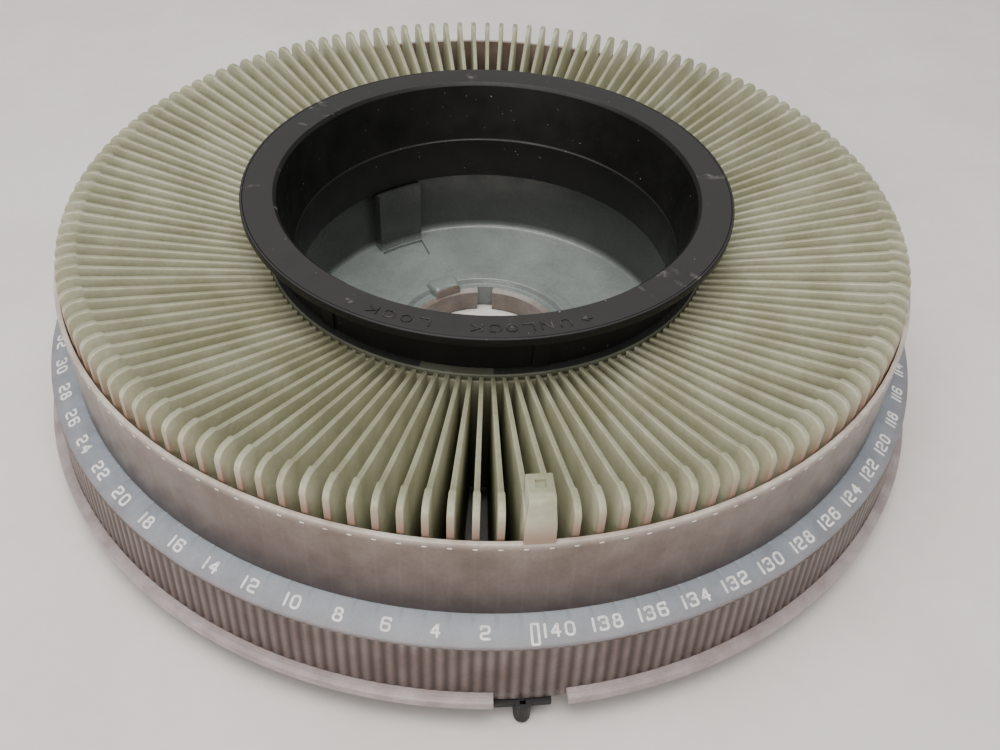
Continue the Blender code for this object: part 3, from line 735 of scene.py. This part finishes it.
postMesh = bmesh.new()
addPost(postMesh)
postPiece = makePiece("zero_post", postMesh, [finFinish], "tray", sharpAngle=38.0)
pocketMesh = bmesh.new()
pocketHalf = math.degrees(pocket["width"] / 2 / pocket["start"])
pocketFloor, pocketClear = drumHigh.z - pocket["depth"], drumHigh.z + 1.0
pocketOutline = [(pocket["start"], pocketFloor), (pocket["end"], pocketFloor),
                 (pocket["end"], pocketClear), (pocket["start"], pocketClear)]
sweepArc(pocketMesh, pocketOutline, -pocketHalf, 2 * pocketHalf, 3)
carve(postPiece, pocketMesh)
print("stage: drum made")


# Hub: bayonet wall, dished floor with a recess, raised rings and the spindle tube

hub = {
    "wallInner": 56.0, "wallOuter": 59.0, "lipThick": 1.5, "padInner": 52.4, "padTop": 31.2,
    "groove": 57.5, "grooveFoot": 32.0, "grooveTop": 38.0,         # the lugs turn in it
    "windowArc": 18.0, "windowBearing": -154.4, "windowCount": 3, "unlockTurn": 22.0,
    "recessInner": 44.2, "recessOuter": 52.1, "recessFloor": (7.5, 8.75), "recessArc": (-161.0, -144.4),
    "floorStart": 32.0, "floorEdge": 10.2, "floorInner": 7.6,      # the floor falls towards the tube
    "raisedTop": 8.7, "bore": 23.0, "boreTop": 6.6, "tubeOuter": 25.7,
    "underTube": 4.8, "underRim": 8.4,                             # underside, by the tube and by the wall
    "notchBearing": 173.9, "notchOuter": 25.2, "notchHalf": 2.6,
}
windowPitch = 360.0 / hub["windowCount"]


def floorHeight(radius):
    share = (radius - hub["floorStart"]) / (hub["wallInner"] - hub["floorStart"])
    return hub["floorInner"] + share * (hub["floorEdge"] - hub["floorInner"])


def inArc(bearing, start, end):
    return (bearing - start) % 360.0 < (end - start)


# A lug of the lock ring comes down through the entry and turns back through the passage to its window.
def hubOutline(bearing):
    turned = (bearing - hub["windowBearing"] + windowPitch / 2) % windowPitch - windowPitch / 2
    half, wall = hub["windowArc"] / 2, hub["wallInner"]
    inRecess = inArc(bearing, *hub["recessArc"])
    inWindow = abs(turned) < half
    inPassage = -half + 1.0 < turned < half + hub["unlockTurn"]
    inEntry = -half + hub["unlockTurn"] + 0.5 < turned < half + hub["unlockTurn"] - 0.3
    padRadius = hub["padInner"] if inRecess else wall            # a pad stands on the wall over the recess
    padFillet = 0.15 if inRecess else 1.5
    passageRadius = hub["groove"] if inWindow or inPassage else wall
    entryRadius = hub["groove"] if inEntry else wall
    outer, inner = hub["recessOuter"], hub["recessInner"]
    innerZ, outerZ = hub["recessFloor"] if inRecess else (floorHeight(inner), floorHeight(outer))
    lipFoot = hubHigh.z - hub["lipThick"]
    return filleted([
        (entryRadius, hubHigh.z, 0.25), (entryRadius, hub["grooveTop"], 0.0),
        (passageRadius, hub["grooveTop"], 0.0), (passageRadius, hub["grooveFoot"], 0.0),
        (wall, hub["grooveFoot"], 0.0), (wall, hub["padTop"], 0.0), (padRadius, hub["padTop"], 0.0),
        (padRadius, floorHeight(padRadius), padFillet), (outer, floorHeight(outer), 0.0),
        (outer, outerZ, 0.0), (inner, innerZ, 0.0), (inner, floorHeight(inner), 0.0),
        (32.2, floorHeight(32.2), 0.5), (31.4, hub["raisedTop"], 0.5), (27.9, hub["raisedTop"], 0.5),
        (26.9, 7.2, 0.3), (25.2, 7.3, 0.3), (24.6, 7.5, 0.2), (hub["bore"], hub["boreTop"], 0.25),
        (hub["bore"], hubLow.z, 0.2), (hub["tubeOuter"], hubLow.z, 0.2),
        (hub["tubeOuter"], hub["underTube"], 0.4), (45.5, hub["underTube"], 0.8),
        (52.2, hub["underRim"], 0.8), (hub["wallOuter"], hub["underRim"], 0.4),
        (hub["wallOuter"], lipFoot, 0.1), (hubHigh.x, lipFoot, 0.2), (hubHigh.x, hubHigh.z, 0.4),
    ], steps=4)


# Columns crowd at the ends of the windows and the recess so that their edges are square.
def hubBearings():
    bearings = set(evenBearings(240, -180.0))
    half = hub["windowArc"] / 2
    far = half + hub["unlockTurn"]
    edges = list(hub["recessArc"])
    for turn in range(hub["windowCount"]):
        middle = hub["windowBearing"] + windowPitch * turn
        ends = (-half, half, -half + 1.0, far, far - 2 * half + 0.5, far - 0.3)
        edges += [middle + edge for edge in ends]
    for edge in edges:
        for side in (-0.03, 0.03):
            bearings.add((edge + side + 180.0) % 360.0 - 180.0)
    return sorted(bearings)


hubMesh = bmesh.new()
sweepRound(hubMesh, hubBearings(), hubOutline)
tubeReach = 24.2                      # faces nearer the axis than this are the inside of the tube
for face in hubMesh.faces:
    centre = face.calc_center_median() / mm
    radius = math.hypot(centre.x, centre.y)
    isLip = radius > hub["wallOuter"] + 0.2 and centre.z > hubHigh.z - hub["lipThick"] - 0.1
    face.material_index = 1 if radius < tubeReach else 2 if isLip else 0
hubFinishes = [hubFinish, tubeFinish, lipFinish]
hubPiece = makePiece("hub", hubMesh, hubFinishes, "tray", sharpAngle=32.0)

notchMesh = bmesh.new()
notchInner, notchLow, notchHigh = hub["bore"] - 2.0, -1.0, 12.0
notchOutline = [(notchInner, notchLow), (hub["notchOuter"], notchLow),
                (hub["notchOuter"], notchHigh), (notchInner, notchHigh)]
notchHalf = math.degrees(hub["notchHalf"] / hub["notchOuter"])
sweepArc(notchMesh, notchOutline, hub["notchBearing"] - notchHalf, 2 * notchHalf, 3)
carve(hubPiece, notchMesh)
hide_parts("hub_bowl")


# Stop block beside the raised rings, with rounded ends

stopBlock = {
    "inner": 23.6, "outer": 30.2, "low": 6.6, "high": 10.3,
    "bearings": (-166.4, -146.0), "rounding": 3.5,                 # both in degrees
}
blockStart, blockEnd = stopBlock["bearings"]


def blockOutline(bearing):
    fromEnd = min(bearing - blockStart, blockEnd - bearing) / stopBlock["rounding"]
    ease = math.sqrt(max(0.0, 1.0 - (1.0 - min(1.0, fromEnd)) ** 2))
    low, pulled = stopBlock["low"], 0.5 * (1 - ease)
    high = low + (stopBlock["high"] - low) * (0.62 + 0.38 * ease)
    return filleted([
        (stopBlock["inner"], low, 0.0), (stopBlock["outer"], low, 0.0),
        (stopBlock["outer"] - pulled, high, 1.6), (stopBlock["inner"] + pulled, high, 1.8),
    ], steps=4)


blockMesh = bmesh.new()
blockBearings = evenBearings(25, blockStart, blockEnd - blockStart, closed=False)
sweepRound(blockMesh, blockBearings, blockOutline, fullTurn=False)
for face in blockMesh.faces:
    centre = face.calc_center_median() / mm
    face.material_index = 1 if math.hypot(centre.x, centre.y) < stopBlock["inner"] + 0.4 else 0
makePiece("hub_stop_block", blockMesh, [hubFinish, tubeFinish], "tray")
print("stage: hub made")


# Lock ring: black bayonet ring with raised letters

ring = {
    "mouth": 57.1, "flangeThick": 2.2, "neck": 59.3, "skirtOuter": 55.6, "skirtInner": 53.7, "ledge": 44.9,
    "ribs": (-46.7, 7.3), "ribHalfArc": 2.0, "ribInner": 58.4, "ribOuter": 59.8, "ribBelow": 1.2,
    "lugHalfArc": 6.5, "lugInner": 54.6, "lugOuter": 57.1, "lugLow": 33.4, "lugHigh": 36.6,
}
ringTop, ringEdge = ringHigh.z, ringHigh.x
flangeFoot = ringTop - ring["flangeThick"]
hubTop = hubHigh.z + 0.4                                  # the ring clears the hub's wall by this
ringOutline = filleted([
    (ringEdge, ringTop, 0.45), (ringEdge, flangeFoot, 0.3), (ring["neck"], flangeFoot, 0.5),
    (ring["neck"], hubTop, 0.2), (ring["skirtOuter"], hubTop, 0.3), (ring["skirtOuter"], ringLow.z, 0.4),
    (ring["skirtInner"], ringLow.z, 0.5), (ring["skirtInner"], ring["ledge"], 0.25),
    (ring["skirtInner"] + 0.5, ring["ledge"] + 0.35, 0.5),
    (ring["mouth"], ringTop - 0.9, 0.3), (ring["mouth"] + 0.9, ringTop, 0.3),
    (ringEdge - 0.85, ringTop, 0.0), (ringEdge - 0.72, ringTop - 0.13, 0.0),    # fine groove by the edge
    (ringEdge - 0.59, ringTop, 0.0),
], steps=4)
lugOutline = filleted([
    (ring["lugInner"], ring["lugLow"], 0.0), (ring["lugOuter"], ring["lugLow"], 0.3),
    (ring["lugOuter"], ring["lugHigh"], 0.3), (ring["lugInner"], ring["lugHigh"], 0.0),
], steps=3)
ribTop = ringTop - ring["ribBelow"]
ribOutline = filleted([
    (ring["ribInner"], hubTop, 0.0), (ring["ribOuter"], hubTop, 0.2),
    (ring["ribOuter"], ribTop, 0.0), (ring["ribInner"], ribTop, 0.0),
], steps=3)
ringMesh = bmesh.new()
sweepRound(ringMesh, evenBearings(360), lambda bearing: ringOutline)
for turn in range(hub["windowCount"]):
    lugStart = hub["windowBearing"] + windowPitch * turn - ring["lugHalfArc"]
    sweepArc(ringMesh, lugOutline, lugStart, 2 * ring["lugHalfArc"], 9)
    for rib in ring["ribs"]:
        ribStart = rib + windowPitch * turn - ring["ribHalfArc"]
        sweepArc(ringMesh, ribOutline, ribStart, 2 * ring["ribHalfArc"], 5)
ringPiece = makePiece("bayonet_ring", ringMesh, [blackFinish], "ring", sharpAngle=35.0)
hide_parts("lock_ring")

letters = {"width": 2.4, "height": 2.35, "stroke": 0.36, "space": 1.6, "proud": 0.22, "radius": 62.6}


# Letters stand with their feet to the axis and are read from the far side.
def onRing(bearing, radius):
    def surfaceAt(across, up, lift):
        return place(radius + up, bearing - math.degrees(across / radius), ringTop + lift)

    return surfaceAt


# With a direction of 1 the arrow points towards falling bearings, with -1 towards growing ones.
def addArrow(mesh, bearing, direction):
    outline = [(-1.3, 0.0), (0.2, 1.15), (0.2, 0.42), (1.5, 0.42), (1.5, -0.42), (0.2, -0.42), (0.2, -1.15)]
    surfaceAt = onRing(bearing, letters["radius"])
    sunk, topLength, topWidth, proud = -0.15, 0.92, 0.85, letters["proud"]
    lower = [mesh.verts.new(surfaceAt(-direction * along, up, sunk)) for along, up in outline]
    upper = []
    for along, up in outline:
        upper.append(mesh.verts.new(surfaceAt(-direction * along * topLength, up * topWidth, proud)))
    mesh.faces.new(lower)
    mesh.faces.new(upper)
    for index in range(len(outline)):
        after = (index + 1) % len(outline)
        mesh.faces.new((lower[index], lower[after], upper[after], upper[index]))


letterMesh = bmesh.new()
words = (("LOCK", (-18.8, -22.8, -26.6, -30.6)), ("UNLOCK", (11.2, 7.1, 3.3, -0.3, -3.7, -7.7)))
for word, bearings in words:
    for letter, bearing in zip(word, bearings):
        addFigures(letterMesh, [letter], letters, onRing(bearing, letters["radius"]))
addArrow(letterMesh, -36.1, -1.0)
addArrow(letterMesh, 16.0, 1.0)
makePiece("ring_letters", letterMesh, [blackFinish], "ring", sharpAngle=30.0)
print("stage: lock ring made")


# Metal parts and the latch keep their frame shapes and take their finishes

nodeFinishes = {
    "base_plate": zincFinish, "latch_keeper": zincFinish,
    "keeper_rivet_left": zincFinish, "keeper_rivet_right": zincFinish,
    "plate_retainer": springFinish, "latch_slider": blackFinish, "latch_spring": springFinish,
}
for nodeName, nodeFinish in nodeFinishes.items():
    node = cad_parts[nodeName]
    node.data.materials.clear()
    node.data.materials.append(nodeFinish)
print("stage: frame finishes given")


# Floor, lights and camera

floorReach = 1.6                      # metres from the middle to each side
floorGap = 0.2 * mm                   # the floor lies this far below the part
floorMesh = bmesh.new()
bmesh.ops.create_grid(floorMesh, x_segments=8, y_segments=8, size=floorReach)
floorPiece = makePiece("floor", floorMesh, [floorFinish], None)
floorPiece.location = (0.0, 0.0, cadBox[0].z - floorGap)


def addSoftbox(name, location, target, width, depth, power, tint):
    lamp = bpy.data.lights.new(name, "AREA")
    lamp.shape = "RECTANGLE"
    lamp.size = width
    lamp.size_y = depth
    lamp.energy = power
    lamp.color = linearColour(tint)[:3]
    holder = bpy.data.objects.new(name, lamp)
    holder.location = location
    holder.rotation_euler = (Vector(target) - Vector(location)).to_track_quat("-Z", "Y").to_euler()
    bpy.context.scene.collection.objects.link(holder)


addSoftbox("overhead_softbox", (-0.10, -0.10, 0.95), (0.0, 0.0, 0.0), 0.9, 0.7, 11.0, "#fffdf8")
addSoftbox("front_fill", (-0.45, -0.95, 0.55), (0.0, 0.0, 0.03), 0.7, 0.5, 5.0, "#fff6f2")
world = bpy.data.worlds.new("studio")
world.use_nodes = True
sky = world.node_tree.nodes["Background"]
sky.inputs["Color"].default_value = linearColour("#f1f0ee")
sky.inputs["Strength"].default_value = 0.45
bpy.context.scene.world = world

view = {
    "lens": 36.85, "sensor": 36.0, "nearest": 0.01, "roll": 2.7,
    "location": (-0.02611, -0.24000, 0.21285), "lookAt": (-0.00296, -0.06502, 0.051),
}
cameraData = bpy.data.cameras.new("view_camera")
cameraData.lens = view["lens"]
cameraData.sensor_width = view["sensor"]
cameraData.clip_start = view["nearest"]
camera = bpy.data.objects.new("view_camera", cameraData)
aim = (Vector(view["lookAt"]) - Vector(view["location"])).to_track_quat("-Z", "Y")
standing = Matrix.Translation(view["location"]) @ aim.to_matrix().to_4x4()
camera.matrix_world = standing @ Matrix.Rotation(math.radians(view["roll"]), 4, "Z")
bpy.context.scene.collection.objects.link(camera)
bpy.context.scene.camera = camera
print("stage: floor, lights and camera placed")
